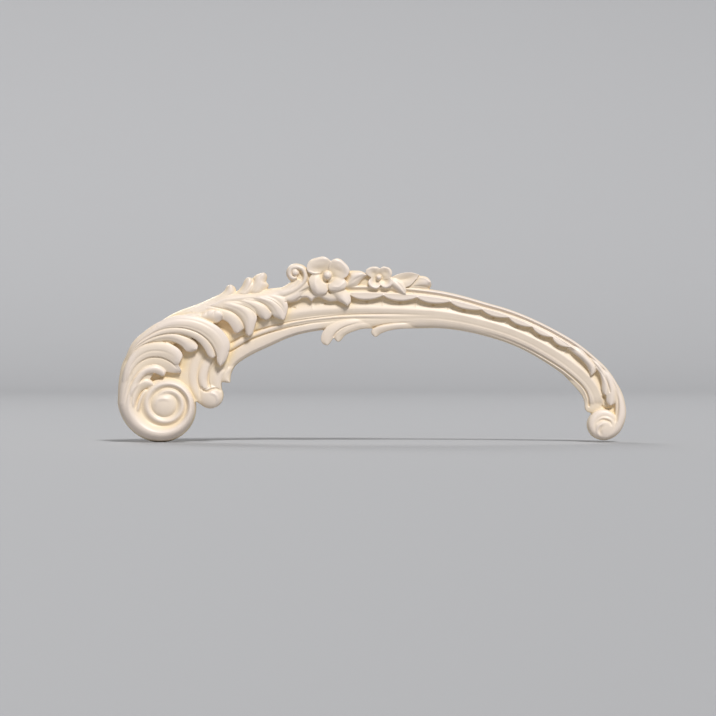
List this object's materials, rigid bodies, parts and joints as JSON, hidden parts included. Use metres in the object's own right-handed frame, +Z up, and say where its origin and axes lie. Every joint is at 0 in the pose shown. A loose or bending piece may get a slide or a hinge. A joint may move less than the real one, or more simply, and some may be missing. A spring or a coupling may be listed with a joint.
{
  "type": "carved scroll onlay",
  "caption": "Arched rococo scroll onlay with acanthus leaves, flowers and a scalloped rail, moulded in ivory polyurethane with a flat back.",
  "frame": {"origin": "on the flat back face, behind the middle of the rail's arch", "axes": "+X to the right along the onlay's length, +Y out of the flat back into the wall, +Z up"},
  "size_m": [0.5083, 0.0269, 0.1859],
  "materials": {
    "ivory_polyurethane": "satin"
  },
  "bodies": {
    "root": {"scroll_onlay": "ivory_polyurethane"}
  },
  "joints": []
}
